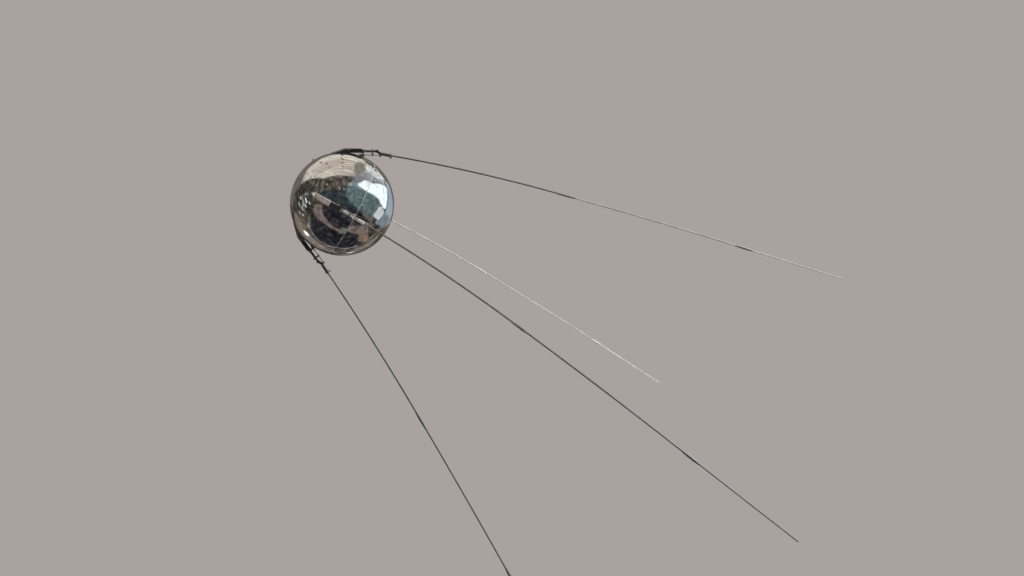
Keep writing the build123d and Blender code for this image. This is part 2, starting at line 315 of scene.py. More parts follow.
# dullness, grain, depth of the grain in millimetres, stretch of the pattern
rod_grain = ((0.16, 0.3), 500, 0.01, (0.08, 1, 1))
sleeve_grain = ((0.2, 0.34), 300, 0.002, (0.2, 1, 1))
ferrule_grain = ((0.24, 0.4), 300, 0.01, (1, 0.2, 0.2))


def dress_whip_piece(piece, look, grain_kind, turn):
    """A slightly warm metal with its grain along the whip."""
    shade, bare = look
    dullness, grain, depth, stretch = grain_kind
    clean = (shade, 0.98 * shade, 0.95 * shade)
    stained = (0.8 * shade, 0.775 * shade, 0.745 * shade)
    give(
        metal(
            "drawn_" + piece, clean, stained, dullness, grain, depth * millimetre, bare,
            stretch, turn,
        ),
        piece,
    )


for name, roll, swing, clamp_turn in antennas:
    turn = tuple(whip_place(roll, swing).to_3x3().inverted().to_euler())
    # each piece of this whip gets its painted light and shade from the table
    *rods, sleeve, ferrules = whip_light_and_shade[name]
    for kind, look in zip(("inner_rod_", "middle_rod_", "tip_rod_"), rods):
        dress_whip_piece(kind + name, look, rod_grain, turn)
    dress_whip_piece("sleeve_" + name, sleeve, sleeve_grain, turn)
    dress_whip_piece("ferrules_" + name, ferrules, ferrule_grain, turn)

# %% [markdown]
# The insulators are a black moulded resin: not metallic, a little glossy, with a faint brown
# mottle and dust in its grain. Plain black would look like a hole in the picture, so two near
# blacks are mixed.

# %% Black resin of the insulators
resin_grain_depth = 0.03 * millimetre


def black_resin():
    finish, shader = new_finish("black_resin")
    place = pattern_place(finish)
    mottle = noise(finish, place, scale=160, detail=5)
    shade = colours(finish, mottle, (0.35, (0.012, 0.011, 0.011)), (0.7, (0.035, 0.031, 0.029)))
    link(finish, shade, shader.inputs["Base Color"])
    grain = noise(finish, place, scale=900, detail=4)
    link(finish, in_range(finish, grain, low=0.35, high=0.6), shader.inputs["Roughness"])
    link(finish, bump(finish, grain, resin_grain_depth), shader.inputs["Normal"])
    return finish


give(black_resin(), "insulator")

# %% [markdown]
# The coil springs are plain tubes in the solid model. Each lies between its bracket and its
# plunger. The coil keeps within the tube that it replaces: it has the same length, and its wire
# is nearly as thick as the tube's wall.

# %% Sizes of a spring
bracket_rear = 115 * millimetre
plunger_height = arm_height - 22 * millimetre
coil_length = 22 * millimetre
wire_radius = 0.65 * millimetre
coil_radius = 3.5 * millimetre
coil_turns = 9
coil_pitch = (coil_length - 2 * wire_radius) / coil_turns
print("pitch of the coil", round(coil_pitch / millimetre, 2), "mm")

# %% [markdown]
# A real coil is a round wire wound round an axis. A curve with a bevel could follow a helix of
# typed points, but a small circle swept by the Screw modifier gives the coil directly, and the
# two open ends are then filled.

# %% Coil of one spring
wire_sides = 10
steps_in_a_turn = 24


def deselect():
    """An operator acts on all that is selected, so nothing is before each new piece."""
    bpy.ops.object.select_all(action="DESELECT")


def apply_modifier(piece, modifier):
    bpy.context.view_layer.objects.active = piece
    bpy.ops.object.modifier_apply(modifier=modifier.name)


def coil_spring():
    deselect()
    bpy.ops.mesh.primitive_circle_add(
        vertices=wire_sides, radius=wire_radius, fill_type="NOTHING",
        location=(wire_radius, 0, coil_radius), rotation=(math.pi / 2, 0, 0),
    )
    coil = bpy.context.object
    bpy.ops.object.transform_apply(location=True, rotation=True, scale=True)
    wind = coil.modifiers.new("wind", "SCREW")
    wind.axis = "X"
    wind.screw_offset = coil_pitch
    wind.iterations = coil_turns
    wind.steps = steps_in_a_turn
    wind.render_steps = steps_in_a_turn
    apply_modifier(coil, wind)
    bpy.ops.object.mode_set(mode="EDIT")
    bpy.ops.mesh.select_all(action="SELECT")
    bpy.ops.mesh.fill_holes(sides=0)
    bpy.ops.mesh.normals_make_consistent(inside=False)
    bpy.ops.object.mode_set(mode="OBJECT")
    bpy.ops.object.shade_smooth()
    coil.data.transform(Matrix.Translation((bracket_rear, 0, plunger_height)))
    return coil


coil_master = coil_spring()
print("coil of", len(coil_master.data.vertices), "points")

# %% [markdown]
# One coil is enough, because the four mounts are alike. Each copy gets its own mesh, so that its
# place can be written into the mesh and its object can stay at the origin, where the pattern of
# its finish starts too.

# %% Coils on the mounts
def fit_copy(master, name, matrix, body, finish):
    """A copy with its own mesh, its place in that mesh, riding on a body."""
    piece = master.copy()
    piece.data = master.data.copy()
    piece.name = name
    piece.data.transform(matrix)
    bpy.context.scene.collection.objects.link(piece)
    piece.data.materials.clear()
    piece.data.materials.append(finish)
    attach(piece, body)
    return piece


for name, roll, swing, clamp_turn in antennas:
    coil = fit_copy(
        coil_master, "coil_" + name, mount_place(roll), "satellite_body",
        metals["spring_steel"],
    )
    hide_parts("spring_" + name)
bpy.data.objects.remove(coil_master)
print("coils fitted:", len(antennas))

# %% [markdown]
# The small fasteners are left out of the solid model. A head could be turned from a profile with
# Spin, but a cylinder whose top is inset and raised has the same turned-off edge with less work.
# The plain bolts in the brackets' feet need nothing more.

# %% Bolt head with its edge turned off
hexagon = 6


def select_faces(piece, wanted):
    """Enter edit mode with only the faces selected that are wanted."""
    bpy.ops.object.mode_set(mode="EDIT")
    bpy.ops.mesh.select_mode(type="FACE")
    bpy.ops.mesh.select_all(action="DESELECT")
    bpy.ops.object.mode_set(mode="OBJECT")
    for face in piece.data.polygons:
        face.select = wanted(face)
    bpy.ops.object.mode_set(mode="EDIT")


def head(sides, radius, height, chamfer):
    """Head that stands on the origin, with its upper edge turned off."""
    deselect()
    bpy.ops.mesh.primitive_cylinder_add(
        vertices=sides, radius=radius, depth=height - chamfer,
        location=(0, 0, (height - chamfer) / 2),
    )
    piece = bpy.context.object
    bpy.ops.object.transform_apply(location=True, rotation=True, scale=True)
    select_faces(piece, lambda face: face.normal.z > 0.9)
    bpy.ops.mesh.inset(thickness=chamfer)
    bpy.ops.transform.translate(value=(0, 0, chamfer))
    bpy.ops.object.mode_set(mode="OBJECT")
    return piece


foot_bolt = head(
    hexagon, radius=4.2 * millimetre, height=3.4 * millimetre, chamfer=0.5 * millimetre
)
print("foot bolt of", len(foot_bolt.data.polygons), "faces")

# %% [markdown]
# Slotted screws, socket screws and bored nuts start from the same head. Their slots and bores
# could be modelled face by face, but the Boolean modifier cuts them as a mill or a drill would.
# A slot and a socket are shares of the head, as on real screws, so one function serves all sizes.

# %% Screws and nuts
round_sides = 24
bore_sides = 32


def cut_with(piece, tool):
    """Take the tool's shape out of a piece. The tool goes."""
    cut = piece.modifiers.new("cut", "BOOLEAN")
    cut.object = tool
    cut.solver = "EXACT"
    apply_modifier(piece, cut)
    bpy.data.objects.remove(tool)
    return piece


def slotted_screw(radius, height):
    piece = head(round_sides, radius, height, 0.25 * radius)
    deselect()
    bpy.ops.mesh.primitive_cube_add(size=1, location=(0, 0, height))
    slot = bpy.context.object
    slot.scale = (2.2 * radius, 0.25 * radius, 0.9 * height)
    return cut_with(piece, slot)


def socket_screw(radius, height):
    piece = head(round_sides, radius, height, 0.12 * radius)
    deselect()
    bpy.ops.mesh.primitive_cylinder_add(
        vertices=hexagon, radius=0.5 * radius, depth=height, location=(0, 0, height)
    )
    return cut_with(piece, bpy.context.object)


def bored_nut(radius, height, bore):
    piece = head(hexagon, radius, height, 0.1 * radius)
    deselect()
    bpy.ops.mesh.primitive_cylinder_add(vertices=bore_sides, radius=bore, depth=3 * height)
    return cut_with(piece, bpy.context.object)


fairing_screw = slotted_screw(radius=3.4 * millimetre, height=1.8 * millimetre)
collar_screw = socket_screw(radius=3.0 * millimetre, height=3.2 * millimetre)
arm_nut = bored_nut(radius=10.4 * millimetre, height=6 * millimetre, bore=7.1 * millimetre)
for master in (fairing_screw, collar_screw, arm_nut):
    print("a master of", len(master.data.polygons), "faces")

# %% [markdown]
# Where a fastener sits follows from the mount's own sizes. Two screws hold the fairing, two bolts
# the foot of the bracket, a nut closes the socket that the arm stands in, and one screw pinches
# the collar of the guide. Each place is a matrix in the mount's own frame, so one list of places
# serves all four mounts.

# %% Fasteners on the mounts
fairing_top = 22 * millimetre
screw_along = 24 * millimetre
screw_across = 8 * millimetre
foot_bolt_along = 99 * millimetre
foot_bolt_across = 6.5 * millimetre
foot_top = -10 * millimetre
guide_along = 164 * millimetre
collar_radius = 10.5 * millimetre
collar_screw_sunk = 0.3 * millimetre
collar_screw_seat = arm_height + collar_radius - collar_screw_sunk
along_x = Matrix.Rotation(math.pi / 2, 4, "Y")


def both_sides(along, across, up):
    """Places at the left and at the right of a mount's middle."""
    return [Matrix.Translation((along, side * across, up)) for side in (-1, 1)]


mount_fasteners = (
    # kind, master, places in the mount's frame, slot, metal
    ("fairing_screw", fairing_screw, both_sides(screw_along, screw_across, fairing_top),
     "plunger", "bright_steel"),
    ("foot_bolt", foot_bolt, both_sides(foot_bolt_along, foot_bolt_across, foot_top),
     "plunger", "bright_steel"),
    ("arm_nut", arm_nut, [Matrix.Translation((bracket_rear, 0, arm_height)) @ along_x],
     "bracket", "dull_plate"),
    ("collar_screw", collar_screw, [Matrix.Translation((guide_along, 0, collar_screw_seat))],
     "plunger", "bright_steel"),
)
for kind, master, places, slot, metal_name in mount_fasteners:
    for name, roll, swing, clamp_turn in antennas:
        for number, place in enumerate(places, 1):
            fit_copy(
                master, kind + "_" + str(number) + "_" + name, mount_place(roll) @ place,
                "satellite_body", metals[metal_name],
            )
    print(kind, "fitted:", len(places) * len(antennas))
    bpy.data.objects.remove(master)

# %% [markdown]
# A whip is held in its socket by a split clamp. A screw goes through the clamp's tab, and a nut
# closes it from the other side. Both ride on the whip and not on the satellite, because the clamp
# swings with it.

# %% Screws through the clamps
sleeve_end = 86 * millimetre
sleeve_offset = 10.5 * millimetre
clamp_middle = 5 * millimetre
tab_screw_out = 14.2 * millimetre
tab_half_width = 3 * millimetre


def clamp_place(roll, swing, clamp_turn):
    """Matrix of a clamp's middle: Z along the whip, X out through the tab."""
    end = Matrix.Translation((sleeve_end - clamp_middle, 0, -sleeve_offset))
    turned = Matrix.Rotation(math.radians(clamp_turn), 4, "Z")
    return whip_place(roll, swing) @ end @ along_x @ turned


clamp_screw = socket_screw(radius=2.3 * millimetre, height=2.4 * millimetre)
clamp_nut = head(
    hexagon, radius=2.6 * millimetre, height=2.0 * millimetre, chamfer=0.3 * millimetre
)
for name, roll, swing, clamp_turn in antennas:
    clamp = clamp_place(roll, swing, clamp_turn)
    for kind, master, side in (("clamp_screw_", clamp_screw, -1), ("clamp_nut_", clamp_nut, 1)):
        seat = Matrix.Translation((tab_screw_out, side * tab_half_width, 0))
        outward = Matrix.Rotation(-side * math.pi / 2, 4, "X")
        fit_copy(
            master, kind + name, clamp @ seat @ outward, "whip_" + name,
            metals["bright_steel"],
        )
for master in (clamp_screw, clamp_nut):
    bpy.data.objects.remove(master)
print("clamps closed:", len(antennas))

# %% [markdown]
# The camera stands on the floor and looks up. It could be pushed about until the picture looks
# right, but a place and a direction that were worked out from the sphere's disc and the four
# whips, with a 50 mm lens on a 36 mm sensor, put every piece where it belongs at once.

# %% Camera
camera_place = Vector((-2.3248, -6.1697, -4.6024))
camera_look = Vector((0.41127, 0.74356, 0.52724))

deselect()
bpy.ops.object.camera_add(location=camera_place)
camera = bpy.context.object
camera.rotation_euler = camera_look.to_track_quat("-Z", "Y").to_euler()
camera.data.lens = 50
camera.data.sensor_width = 36
camera.data.clip_end = 200
bpy.context.scene.camera = camera
print("camera", round(camera_place.length, 2), "m from the sphere")

# %% [markdown]
# The world is a pale warm grey to the camera and to mirrors, and a plain white light to everything
# else. One colour for both would tint whatever it lights. With the two kept apart, a colour shows
# about as it is written.

# %% World
backdrop = (0.40, 0.36, 0.345)
world_light = 0.6

bpy.context.scene.view_settings.view_transform = "Standard"
world = blank(bpy.data.worlds.new("studio"))
bpy.context.scene.world = world
rays = add(world, "ShaderNodeLightPath")
mirrors = add(world, "ShaderNodeMath")
mirrors.operation = "MAXIMUM"
seen = add(world, "ShaderNodeMath")
seen.operation = "MAXIMUM"
link(world, rays.outputs["Is Glossy Ray"], mirrors.inputs[0])
link(world, rays.outputs["Is Transmission Ray"], mirrors.inputs[1])
link(world, rays.outputs["Is Camera Ray"], seen.inputs[0])
link(world, mirrors.outputs[0], seen.inputs[1])
light = add(world, "ShaderNodeBackground", Color=(1, 1, 1, 1), Strength=world_light)
wall = add(world, "ShaderNodeBackground", Color=(*backdrop, 1), Strength=1.0)
either = add(world, "ShaderNodeMixShader")
output = add(world, "ShaderNodeOutputWorld")
link(world, seen.outputs[0], either.inputs["Fac"])
link(world, light.outputs[0], either.inputs[1])
link(world, wall.outputs[0], either.inputs[2])
link(world, either.outputs[0], output.inputs["Surface"])
print("world light", world_light)

# %% [markdown]
# A mirror ball shows nothing but what stands round it, so its finish can't be judged in an empty
# studio. It gets what is put up round polished things there: a tall room of cloth, dark below and
# pale above, with tall window panels on the right. The room is there for mirrors only. It throws
# no light and no shadow, and every camera looks through it to the plain backdrop.
# Places in the room are given as bearing and elevation from the sphere's centre. Bearing 0 is
# towards the camera, and 90 is to the right of the picture.

# %% Directions in the room
to_camera = camera_place.normalized()
camera_bearing = math.atan2(to_camera.y, to_camera.x)


def towards(bearing, elevation, distance):
    angle = camera_bearing + math.radians(bearing)
    rise = math.radians(elevation)
    level = distance * math.cos(rise)
    return Vector((level * math.cos(angle), level * math.sin(angle), distance * math.sin(rise)))


print("right of the picture:", [round(c, 2) for c in towards(90, 0, 1)])

# %% [markdown]
# The cloths of the room glow by themselves, so they look the same whatever the lamps do. An
# attribute called cover says where a cloth is whole. A noise added to it frays the edge, because
# a straight and sharp edge in a mirror gives the card away.

# %% Glowing cloth
fray_scale = 3
fray_starts = 0.72
fray_ends = 1.2


def glow_with_soft_edge(finish, shades, strength):
    """Glow where the cover attribute is 1, nothing where it is 0, and an uneven change between."""
    glow = add(finish, "ShaderNodeEmission", Strength=strength)
    link(finish, shades, glow.inputs["Color"])
    cover = add(finish, "ShaderNodeAttribute")
    cover.attribute_name = "cover"
    uneven = add(finish, "ShaderNodeMath")
    uneven.operation = "ADD"
    fray = noise(finish, pattern_place(finish), fray_scale, detail=6, roughness=0.7)
    link(finish, fray, uneven.inputs[0])
    link(finish, cover.outputs["Fac"], uneven.inputs[1])
    clear = add(finish, "ShaderNodeBsdfTransparent")
    mixed = add(finish, "ShaderNodeMixShader")
    whole = in_range(finish, uneven.outputs[0], 0, 1, fray_starts, fray_ends)
    link(finish, whole, mixed.inputs["Fac"])
    link(finish, clear.outputs[0], mixed.inputs[1])
    link(finish, glow.outputs[0], mixed.inputs[2])
    output = add(finish, "ShaderNodeOutputMaterial")
    link(finish, mixed.outputs[0], output.inputs["Surface"])


def cloth(name, *stops, scale=0.5, strength=1.0, stretch=(1, 1, 1)):
    """A cloth that glows in uneven shades, so that it needs no lamp of its own."""
    finish = blank(bpy.data.materials.new(name))
    shading = noise(finish, pattern_place(finish, stretch), scale, detail=6, roughness=0.68)
    glow_with_soft_edge(finish, colours(finish, shading, *stops), strength)
    return finish


print("a cloth is whole where its cover and the noise come to", fray_ends)

# %% [markdown]
# The cover attribute is one number for each point of a mesh. It could be painted on by hand, but
# an inset gives a face an even border by itself, and only what lies inside it is covered. All
# that hangs in the room is hidden from the camera, lights nothing and shades nothing. It belongs
# to the stage and not to the satellite.

# %% Soft edges, and what only mirrors see
def only_for_mirrors(piece):
    piece.visible_camera = False
    piece.visible_diffuse = False
    piece.visible_shadow = False


def soft_edge(panel, width):
    """Inset the one face of a panel, and cover only what lies inside the inset."""
    corner_count = len(panel.data.vertices)
    if width > 0:
        bpy.ops.object.mode_set(mode="EDIT")
        bpy.ops.mesh.select_all(action="SELECT")
        bpy.ops.mesh.inset(thickness=width)
        bpy.ops.object.mode_set(mode="OBJECT")
    cover = panel.data.attributes.new("cover", "FLOAT", "POINT")
    for number, point in enumerate(cover.data):
        point.value = 0.0 if width > 0 and number < corner_count else 1.0


for width in (0.2, 0.4, 0.9):
    print("at 5 m an edge of", width, "m covers", round(math.degrees(width / 5), 1), "degrees")

# %% [markdown]
# One dark colour all round would make the ball look like painted plastic. So each cloth of the
# room runs through a few shades, and those of the walls and the floor start nearly black.

# %% Cloths of the room
navy_floor = cloth(
    "navy_floor", (0.36, (0.004, 0.004, 0.006)), (0.52, (0.02, 0.02, 0.026)),
    (0.7, (0.1, 0.1, 0.115)), scale=1.2,
)
brown_wall = cloth(
    "brown_wall", (0.4, (0.012, 0.011, 0.01)), (0.5, (0.07, 0.06, 0.05)),
    (0.62, (0.26, 0.22, 0.18)), scale=0.8, stretch=(1, 1, 0.7),
)
grey_top = cloth("grey_top", (0.35, (0.11, 0.1, 0.09)), (0.65, (0.2, 0.18, 0.165)), scale=0.4)
room_cloths = (brown_wall, navy_floor, grey_top)
print("cloths of the room:", [room_cloth.name for room_cloth in room_cloths])

# %% [markdown]
# The room is one cube seen from inside, with a cloth each for its walls, its floor and its top.
# Six cards would make it too, but a cube has no gaps at its corners. It is turned so that its
# front wall stands behind the camera, and it is longer than wide, so that the ball shows a deep
# space.

# %% Room
room_width = 12.4
room_depth = 14.6
room_height = 8.8
room_right = 5.4
room_front = 7.6


def stretch_over_room(piece, depth, height, rise):
    """Stretch a piece of 1 m over the room's width, and over this depth from its front wall."""
    piece.data.transform(
        Matrix.Rotation(camera_bearing + math.pi / 2, 4, "Z")
        @ Matrix.Translation((room_right - room_width / 2, depth / 2 - room_front, rise))
        @ Matrix.Diagonal((room_width, depth, height, 1))
    )


deselect()
bpy.ops.mesh.primitive_cube_add(size=1)
room = bpy.context.object
room.name = "room"
for room_cloth in room_cloths:
    room.data.materials.append(room_cloth)
for face in room.data.polygons:
    if face.normal.z < -0.5:
        face.material_index = 1
    elif face.normal.z > 0.5:
        face.material_index = 2
stretch_over_room(room, room_depth, room_height, 0)
soft_edge(room, 0)
only_for_mirrors(room)
print("room of", room_width, "x", room_depth, "x", room_height, "m")

# %% [markdown]
# The ceiling is the brightest part. Its panels leave thin dark seams, which a ball bends into
# arcs. The panels could be modelled one by one, but only their seams show, and a Brick pattern
# gives those. It is turned so that its rows run from left to right, and a noise pushes the seams
# a little aside, because no real ceiling is as straight as a pattern.

# %% Panelled ceiling
ceiling_strength = 0.95
ceiling_edge = 0.7
ceiling_below_top = 0.1
ceiling_past_ball = 1.7
seam_wobble = 0.5


def panelled_ceiling():
    finish = blank(bpy.data.materials.new("panelled_ceiling"))
    place = pattern_place(finish, turn=(0, 0, -camera_bearing - math.pi / 2))
    wobble = add(finish, "ShaderNodeTexNoise", Scale=1.1, Detail=3)
    link(finish, place, wobble.inputs["Vector"])
    shifted = add(finish, "ShaderNodeVectorMath")
    shifted.operation = "MULTIPLY_ADD"
    shifted.inputs[1].default_value = (seam_wobble, seam_wobble, 0)
    link(finish, wobble.outputs["Color"], shifted.inputs[0])
    link(finish, place, shifted.inputs[2])
    panels = add(
        finish, "ShaderNodeTexBrick", Scale=1.0, Mortar_Size=0.085, Mortar_Smooth=0.4,
        Brick_Width=3.8, Row_Height=0.68, Color1=(1.0, 0.93, 0.83, 1), Color2=(0.62, 0.54, 0.46, 1),
        Mortar=(0.07, 0.055, 0.04, 1),
    )
    link(finish, shifted.outputs[0], panels.inputs["Vector"])
    glow_with_soft_edge(finish, panels.outputs["Color"], ceiling_strength)
    return finish


ceiling_height = room_height / 2 - ceiling_below_top
deselect()
bpy.ops.mesh.primitive_plane_add(size=1)
ceiling = bpy.context.object
ceiling.name = "ceiling"
stretch_over_room(ceiling, room_front + ceiling_past_ball, 1, ceiling_height)
soft_edge(ceiling, ceiling_edge)
ceiling.data.materials.append(panelled_ceiling())
only_for_mirrors(ceiling)
print("ceiling at", round(ceiling_height, 2), "m")

# %% [markdown]
# Whatever else the ball shows is a card: one face whose corners are directions from the ball.
# Placing one is like painting on the ball, and a bearing of 60 shows at its right. A wide flat
# card comes nearer in its middle, so a card that should cover another gets a shorter distance.

# %% Cards
def card(name, finish, distance, edge, *corners):
    """A card whose corners are given by bearing and elevation."""
    deselect()
    bpy.ops.mesh.primitive_circle_add(vertices=len(corners), fill_type="NGON")
    panel = bpy.context.object
    panel.name = name
    for vertex, (bearing, elevation) in zip(panel.data.vertices, corners):
        vertex.co = towards(bearing, elevation, distance)
    soft_edge(panel, edge)
    panel.data.materials.append(finish)
    only_for_mirrors(panel)


def hang(cards):
    for row in cards:
        card(*row)
    print("hung:", ", ".join(row[0] for row in cards))


for span in (30, 60, 90):
    nearest = round(math.cos(math.radians(span / 2)), 2)
    print("a card", span, "degrees wide comes as near as", nearest, "of its distance")

# %% [markdown]
# The cloths for the right side are mostly cool: near white for the windows, teal, slate and blue
# for what is beside and below them, lavender and taupe for what is above. Where the stretch is
# less in Z than in X and Y, the patches of a cloth stand upright, as light through tall panes does.

# %% Cloths for the right side
window_cloth = cloth(
    "window_cloth", (0.34, (0.4, 0.52, 0.6)), (0.5, (0.9, 1.0, 1.0)), scale=1.6, strength=1.35,
    stretch=(2, 2, 0.5),
)
low_window_cloth = cloth(
    "low_window_cloth", (0.3, (0.28, 0.35, 0.37)), (0.62, (0.95, 1.0, 1.0)), scale=1.5,
    stretch=(2, 2, 0.5),
)
teal_cloth = cloth(
    "teal_cloth", (0.34, (0.04, 0.062, 0.074)), (0.5, (0.105, 0.15, 0.16)),
    (0.66, (0.26, 0.36, 0.37)), scale=2.4,
)
deep_cloth = cloth(
    "deep_cloth", (0.35, (0.008, 0.011, 0.015)), (0.68, (0.07, 0.09, 0.1)), scale=1.4,
)
sky_cloth = cloth("sky_cloth", (0.35, (0.28, 0.37, 0.46)), (0.65, (0.4, 0.48, 0.55)), scale=0.7)
slate_cloth = cloth(
    "slate_cloth", (0.35, (0.12, 0.145, 0.17)), (0.65, (0.33, 0.37, 0.42)), scale=0.9,
)
lavender_cloth = cloth(
    "lavender_cloth", (0.35, (0.18, 0.18, 0.2)), (0.65, (0.42, 0.42, 0.46)), scale=1.1,
)
taupe_cloth = cloth(
    "taupe_cloth", (0.35, (0.13, 0.12, 0.1)), (0.65, (0.38, 0.35, 0.31)), scale=1.5,
    stretch=(3, 3, 0.5),
)
dusk_cloth = cloth("dusk_cloth", (0.32, (0.12, 0.16, 0.19)), (0.66, (0.42, 0.5, 0.54)), scale=1.8)
skylight_cloth = cloth(
    "skylight_cloth", (0.38, (0.22, 0.23, 0.24)), (0.55, (0.95, 1.0, 1.0)), scale=2.2,
    stretch=(2, 1, 1),
)
print(len(bpy.data.materials), "materials so far")

# %% [markdown]
# The right side is bright. A tall window in four parts stands there, with blue sky and slate
# beside it, lavender, taupe and a pale skylight above it, and a dim teal pane and a darker one
# below. Each part could be one more wall of the room, but a card can be moved by itself.

# %% Cards on the right
# name, cloth, distance and width of the soft edge in metres, bearing and elevation of each corner
hang((
    ("window_upper", window_cloth, 4.8, 0.34, (27, 19), (33, 21), (40, 28), (52, 31), (59, 29),
     (82, 36), (101, 40), (112, 39), (108, 21), (81, 5), (65, 6), (49, 4), (33, 8), (27, 9)),
    ("window_left", dusk_cloth, 4.9, 0.4, (6, 9), (14, 18), (30, 22), (46, 24), (46, 2), (28, 3),
     (12, 5)),
    ("window_side", window_cloth, 4.7, 0.2, (78, 16), (83, 23), (107, 29), (108, 17), (107, 8),
     (99, 4), (83, 4)),
    ("window_lower", low_window_cloth, 4.7, 0.25, (82, -4), (94, 5), (107, 5), (108, -13),
     (97, -19), (84, -24)),
    ("teal_pane", teal_cloth, 5.2, 0.9, (4, 9), (33, 12), (66, 12), (92, 10), (93, -25), (76, -34),
     (47, -40), (20, -34), (2, -18)),
    ("deep_pane", deep_cloth, 5.6, 0.7, (-58, -2), (-40, 1), (-12, -1), (0, 7), (24, 9), (34, 8),
     (38, -44), (10, -42), (-20, -36), (-50, -30)),
    ("sky_side", sky_cloth, 4.9, 0.35, (107, 5), (112, 47), (137, 46), (150, 20), (132, 6)),
    ("slate_low", slate_cloth, 5.0, 0.3, (104, 6), (112, 12), (143, 24), (149, 22), (132, -1),
     (102, -24)),
    ("lavender_top", lavender_cloth, 4.6, 0.28, (19, 34), (59, 52), (103, 42), (96, 38), (82, 35),
     (59, 28), (52, 30), (40, 27), (33, 21), (21, 18)),
    ("taupe_top", taupe_cloth, 4.3, 0.4, (18, 34), (19, 62), (59, 76), (97, 67), (59, 51),
     (34, 35)),
    ("skylight", skylight_cloth, 4.2, 0.22, (57, 62), (110, 66), (118, 56), (122, 47), (110, 42),
     (81, 41), (68, 46), (59, 52)),
))

# %% [markdown]
# The left of the room is dark with a few bright streaks. What stands behind the ball shows only
# in a narrow ring along its rim, so the cards there span wide angles. The strip called pale_left
# lies where the lower left fairing hides it in the ball, and gives that fairing its light.

# %% Cards on the left and behind
pale_cloth = cloth(
    "pale_cloth", (0.35, (0.6, 0.55, 0.51)), (0.6, (1.0, 0.94, 0.88)), scale=1.6, strength=0.9,
)
streak_cloth = cloth(
    "streak_cloth", (0.48, (0.012, 0.012, 0.011)), (0.58, (0.26, 0.25, 0.24)),
    (0.68, (0.8, 0.8, 0.78)), scale=1.6, stretch=(2.4, 2.4, 0.6),
)
black_cloth = cloth(
    "black_cloth", (0.4, (0.008, 0.008, 0.007)), (0.66, (0.13, 0.117, 0.1)), scale=1.6,
)
beige_cloth = cloth(
    "beige_cloth", (0.35, (0.11, 0.088, 0.072)), (0.65, (0.29, 0.25, 0.215)), scale=0.9,
)

hang((
    ("pale_left", pale_cloth, 4.4, 0.04, (-67, 3), (-57, -2), (-42, -15), (-26, -27), (-6, -40),
     (-12, -46), (-31, -34), (-49, -20), (-64, -6)),
    ("streaks_left", streak_cloth, 5.2, 0.5, (-72, -8), (-72, 8), (-86, 14), (-102, 10),
     (-108, -8), (-100, -18), (-84, -20)),
    ("black_left", black_cloth, 6.4, 0.8, (-60, -24), (-58, 16), (-76, 30), (-96, 34), (-118, 24),
     (-120, 2), (-112, -22), (-92, -30)),
    ("beige_back", beige_cloth, 5.0, 0.45, (-126, 12), (-140, 16), (-156, 12), (-172, 4),
     (-182, -6), (-176, -24), (-160, -27), (-146, -24), (-132, -20), (-118, -8)),
    ("beige_right", beige_cloth, 5.0, 0.35, (166, -24), (152, -17), (140, -10), (134, -1),
     (146, 8), (158, 3), (168, -6)),
))

# %% [markdown]
# The floor carries a pale runner that bends round in a half ring, with a mint and an orange piece
# beside it.

# %% Runner on the floor
pink_cloth = cloth(
    "pink_cloth", (0.35, (0.08, 0.062, 0.057)), (0.65, (0.32, 0.25, 0.225)), scale=1.8,
)
orange_cloth = cloth(
    "orange_cloth", (0.35, (0.1, 0.07, 0.05)), (0.65, (0.38, 0.27, 0.19)), scale=2.0,
)
mint_cloth = cloth(
    "mint_cloth", (0.35, (0.08, 0.09, 0.075)), (0.65, (0.3, 0.32, 0.27)), scale=2.0,
)
skirting_cloth = cloth(
    "skirting_cloth", (0.35, (0.3, 0.29, 0.28)), (0.65, (0.6, 0.58, 0.56)), scale=2.0,
)

hang((
    ("runner_left", pink_cloth, 4.6, 0.32, (-69, -19), (-83, -29), (-87, -45), (-88, -59),
     (-103, -71), (-145, -77), (141, -73), (60, -78), (-41, -82), (-65, -72), (-62, -59),
     (-58, -43), (-46, -29)),
    ("runner_right", pink_cloth, 4.5, 0.4, (50, -76), (84, -50), (103, -33), (122, -31),
     (128, -46), (122, -62), (113, -78)),
    ("orange_low", orange_cloth, 4.4, 0.22, (120, -53), (121, -32), (135, -22), (144, -20),
     (146, -40)),
    ("mint_low", mint_cloth, 4.3, 0.22, (40, -84), (80, -76), (112, -74), (150, -80),
     (-140, -84)),
))

# %% [markdown]
# The thin line of a skirting runs along the foot of the far wall. One long card would cut through
# the others, so it is a chain of narrow ones, each from one direction to the next.

# %% Skirting
# bearing and elevation of the skirting's lower edge, from left to right behind the sphere
skirting_line = (
    (-114, -23), (-132, -30), (-149, -32), (-163, -34), (-174, -35), (-189, -32), (-198, -30),
    (-207, -31),
)
skirting_height = 1.6
skirting_distance = 4.8
for (left, left_low), (right, right_low) in zip(skirting_line, skirting_line[1:]):
    card(
        "skirting", skirting_cloth, skirting_distance, 0,
        (left, left_low + skirting_height), (left, left_low),
        (right, right_low), (right, right_low + skirting_height),
    )
print("skirting in", len(skirting_line) - 1, "pieces")

# %% [markdown]
# Small lights are what makes polished metal sparkle. Lamps would light the satellite as well, so
# they are cards too. They come from a table with one row each, and the edge of each is softened
# by a share of its own size.

